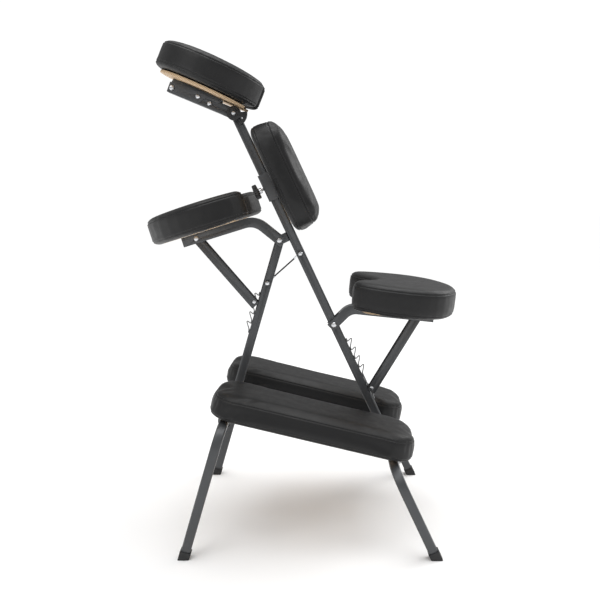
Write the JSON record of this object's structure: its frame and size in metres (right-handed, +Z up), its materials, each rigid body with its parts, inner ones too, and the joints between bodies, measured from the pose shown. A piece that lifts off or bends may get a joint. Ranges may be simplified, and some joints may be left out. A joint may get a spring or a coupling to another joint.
{
  "type": "kneeling massage chair",
  "caption": "Folding A-frame chair for seated massage, with knee pads, a saddle seat, an arm rest, a chest pad and a tilting horseshoe face cradle.",
  "frame": {"origin": "on the floor, below the middle of the chair's outer box", "axes": "+Z up; the sitter faces -X, so the face cradle and arm rest are at -X and the seat at +X; +Y is the sitter's right"},
  "size_m": [0.7738, 0.532, 1.2173],
  "materials": {
    "coated_steel": "satin dark grey powder coat",
    "zinc": "bright zinc plate",
    "upholstery": "satin black imitation leather over foam",
    "plywood": "sealed birch plywood",
    "black_plastic": "moulded black nylon",
    "rubber": "dull black rubber",
    "hook_tape": "black hook and loop tape",
    "cable_cover": "black plastic sheath over steel cable"
  },
  "bodies": {
    "rear_frame": {"rear_leg_frame": "coated_steel", "rear_foot_left": "rubber", "rear_foot_right": "rubber", "rear_post": "coated_steel", "seat_pivot_bolt": "zinc", "brace_bolt_rear": "zinc", "hinge_bracket": "zinc", "apex_bolt": "zinc", "seat_rack": "zinc", "cradle_clamp_bolt": "zinc", "cable_eye_rear": "zinc", "brace_cable": "cable_cover"},
    "front_frame": {"front_leg_frame": "coated_steel", "front_foot_left": "rubber", "front_foot_right": "rubber", "front_post": "coated_steel", "brace_bolt_front": "zinc", "arm_rack": "zinc", "cable_eye_front": "zinc"},
    "arm_rest": {"arm_rail": "coated_steel", "arm_strut_bolt": "zinc", "arm_pad": "upholstery", "arm_board": "plywood"},
    "arm_strut": {"arm_strut": "coated_steel", "arm_strut_pin": "zinc"},
    "seat": {"seat_rail": "coated_steel", "seat_strut_bolt": "zinc", "seat_pad": "upholstery", "seat_board": "plywood"},
    "seat_strut": {"seat_strut": "coated_steel", "seat_strut_pin": "zinc"},
    "knee_left": {"knee_left_pad": "upholstery", "knee_left_board": "plywood", "knee_saddle_left": "coated_steel", "knee_hook_left": "coated_steel"},
    "knee_right": {"knee_right_pad": "upholstery", "knee_right_board": "plywood", "knee_saddle_right": "coated_steel", "knee_hook_right": "coated_steel"},
    "chest_rest": {"chest_sleeve": "coated_steel", "chest_plate": "coated_steel", "chest_screw_upper": "zinc", "chest_screw_lower": "zinc", "chest_pad": "upholstery", "chest_board": "plywood"},
    "clamp_knob": {"clamp_knob": "black_plastic", "clamp_stud": "zinc"},
    "cradle_arm": {"cradle_arm": "coated_steel", "cradle_arm_bolt": "zinc", "cradle_tilt_bolt": "zinc"},
    "clamp_lever": {"clamp_lever": "black_plastic"},
    "face_rest": {"cradle_bracket": "zinc", "cradle_rivet": "zinc", "face_board": "plywood", "hook_band": "hook_tape", "face_pad": "upholstery"}
  },
  "joints": [
    {"name": "front_fold", "type": "hinge", "parent": "rear_frame", "child": "front_frame", "pos_m": [-0.06526, 0, 0.7307], "axis": [0, -1, 0], "range_deg": [0, 30], "deforming": ["brace_cable"]},
    {"name": "arm_tilt", "type": "hinge", "parent": "front_frame", "child": "arm_rest", "pos_m": [-0.06526, 0, 0.7307], "axis": [0, 1, 0], "range_deg": [0, 15]},
    {"name": "arm_strut_swing", "type": "hinge", "parent": "arm_rest", "child": "arm_strut", "pos_m": [-0.276, 0, 0.7352], "axis": [0, 1, 0], "range_deg": [-12, 0]},
    {"name": "seat_tilt", "type": "hinge", "parent": "rear_frame", "child": "seat", "pos_m": [0.07276, 0, 0.5137], "axis": [0, -1, 0], "range_deg": [0, 20]},
    {"name": "seat_strut_swing", "type": "hinge", "parent": "seat", "child": "seat_strut", "pos_m": [0.2901, 0, 0.53651], "axis": [0, -1, 0], "range_deg": [-12, 0]},
    {"name": "knee_left_swing", "type": "hinge", "parent": "front_frame", "child": "knee_left", "pos_m": [-0.19064, 0, 0.3074], "axis": [0, 1, 0], "range_deg": [-30, 0]},
    {"name": "knee_right_swing", "type": "hinge", "parent": "front_frame", "child": "knee_right", "pos_m": [-0.19064, 0, 0.3074], "axis": [0, 1, 0], "range_deg": [-30, 0]},
    {"name": "chest_slide", "type": "slide", "parent": "rear_frame", "child": "chest_rest", "axis": [-0.4226, 0, 0.9063], "range_m": [-0.06, 0.02]},
    {"name": "clamp_knob_turn", "type": "hinge", "parent": "chest_rest", "child": "clamp_knob", "pos_m": [-0.09109, 0, 0.86507], "axis": [-0.9063, 0, -0.4226], "range_deg": [0, 360]},
    {"name": "cradle_tilt", "type": "hinge", "parent": "rear_frame", "child": "cradle_arm", "pos_m": [-0.17392, 0, 1.0427], "axis": [0, -1, 0], "range_deg": [-10, 35]},
    {"name": "clamp_lever_turn", "type": "hinge", "parent": "cradle_arm", "child": "clamp_lever", "pos_m": [-0.17392, 0, 1.0427], "axis": [0, 1, 0], "range_deg": [0, 90]},
    {"name": "face_tilt", "type": "hinge", "parent": "cradle_arm", "child": "face_rest", "pos_m": [-0.3251, 0, 1.1043], "axis": [0, -1, 0], "range_deg": [0, 20]}
  ],
  "couplings": [
    {"joint": "arm_strut_swing", "follows": "arm_tilt", "ratio": -0.537},
    {"joint": "seat_strut_swing", "follows": "seat_tilt", "ratio": -0.579}
  ]
}
